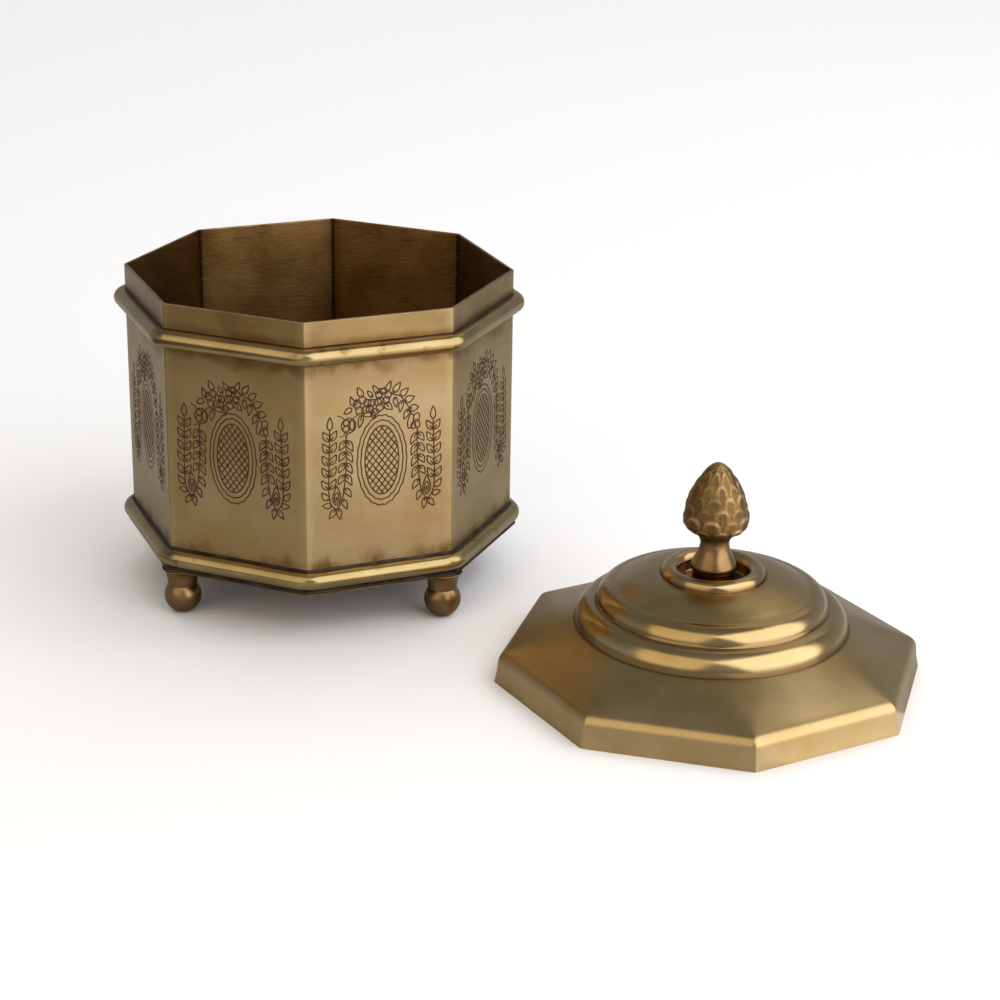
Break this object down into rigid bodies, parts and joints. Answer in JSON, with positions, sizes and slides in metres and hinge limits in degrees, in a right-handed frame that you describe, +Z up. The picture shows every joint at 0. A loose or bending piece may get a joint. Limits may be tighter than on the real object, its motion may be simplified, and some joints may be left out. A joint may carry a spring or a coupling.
{
  "type": "octagonal lidded brass box",
  "caption": "Eight-sided brass box with engraved walls and two bead mouldings on ball feet, with its lift-off stepped lid and pine-cone finial standing beside it.",
  "frame": {"origin": "on the table, under the middle of the box and its lid together", "axes": "+Z up; +X from the box towards the lid standing beside it; +Y away from the lid"},
  "size_m": [0.2651, 0.2227, 0.1067],
  "materials": {
    "wall_brass": "brushed and antiqued, with dark filled engraving",
    "bead_brass": "polished rod",
    "base_brass": "dull sheet",
    "lid_brass": "satin, darkened in the hollows",
    "cast_bronze": "polished casting, rosier than the sheet",
    "screw_brass": "plain turned"
  },
  "bodies": {
    "box": {"wall_panel_1": "wall_brass", "wall_panel_2": "wall_brass", "wall_panel_3": "wall_brass", "wall_panel_4": "wall_brass", "wall_panel_5": "wall_brass", "wall_panel_6": "wall_brass", "wall_panel_7": "wall_brass", "wall_panel_8": "wall_brass", "top_bead": "bead_brass", "bottom_bead": "bead_brass", "base_plate": "base_brass", "ball_foot_1": "cast_bronze", "ball_foot_2": "cast_bronze", "ball_foot_3": "cast_bronze", "ball_foot_4": "cast_bronze", "foot_screw_1": "screw_brass", "foot_screw_2": "screw_brass", "foot_screw_3": "screw_brass", "foot_screw_4": "screw_brass"},
    "lid": {"lid_shell": "lid_brass", "pine_cone_finial": "cast_bronze", "finial_washer": "screw_brass", "finial_screw": "screw_brass"}
  },
  "joints": [
    {"name": "lid_lift", "type": "slide", "parent": "box", "child": "lid", "axis": [0, 0, 1], "range_m": [0, 0.12]}
  ]
}
